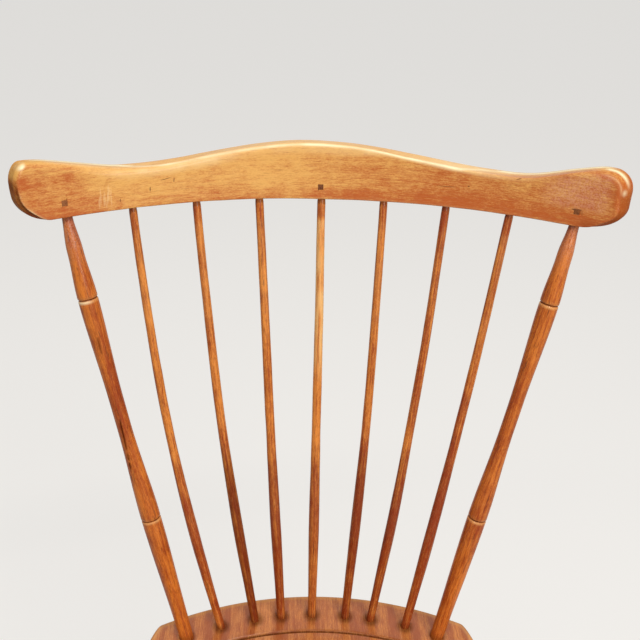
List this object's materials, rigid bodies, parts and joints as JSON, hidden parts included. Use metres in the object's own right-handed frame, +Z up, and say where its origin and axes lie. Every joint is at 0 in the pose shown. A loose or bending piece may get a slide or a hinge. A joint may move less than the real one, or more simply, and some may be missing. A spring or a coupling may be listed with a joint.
{
  "type": "fan back windsor chair",
  "caption": "Armless wooden side chair with a carved seat, bamboo-turned legs and stiles, and slender spindles fanning out to a bent crest rail.",
  "frame": {"origin": "on the floor, under the centre of the chair's bounding box", "axes": "+Z up; the sitter faces -Y; +X is to the right as seen by someone facing the chair's front"},
  "size_m": [0.5789, 0.4786, 0.9728],
  "materials": {
    "crest_wood": "clear varnish, worn satin",
    "turned_wood": "clear varnish, worn satin",
    "spindle_wood": "clear varnish, worn satin",
    "seat_wood": "clear varnish, worn satin",
    "pin_wood": "dark end grain",
    "wedge_wood": "end grain"
  },
  "bodies": {
    "root": {"crest_rail": "crest_wood", "stile_left": "turned_wood", "stile_right": "turned_wood", "leg_front_left": "turned_wood", "leg_front_right": "turned_wood", "leg_rear_left": "turned_wood", "leg_rear_right": "turned_wood", "side_stretcher_left": "turned_wood", "side_stretcher_right": "turned_wood", "centre_stretcher": "turned_wood", "spindle_1": "spindle_wood", "spindle_2": "spindle_wood", "spindle_3": "spindle_wood", "spindle_4": "spindle_wood", "spindle_5": "spindle_wood", "spindle_6": "spindle_wood", "spindle_7": "spindle_wood", "seat": "seat_wood", "crest_pin_left": "pin_wood", "crest_pin_centre": "pin_wood", "crest_pin_right": "pin_wood", "stile_wedge_left": "wedge_wood", "stile_wedge_right": "wedge_wood", "leg_wedge_front_left": "wedge_wood", "leg_wedge_front_right": "wedge_wood", "leg_wedge_rear_left": "wedge_wood", "leg_wedge_rear_right": "wedge_wood"}
  },
  "joints": []
}
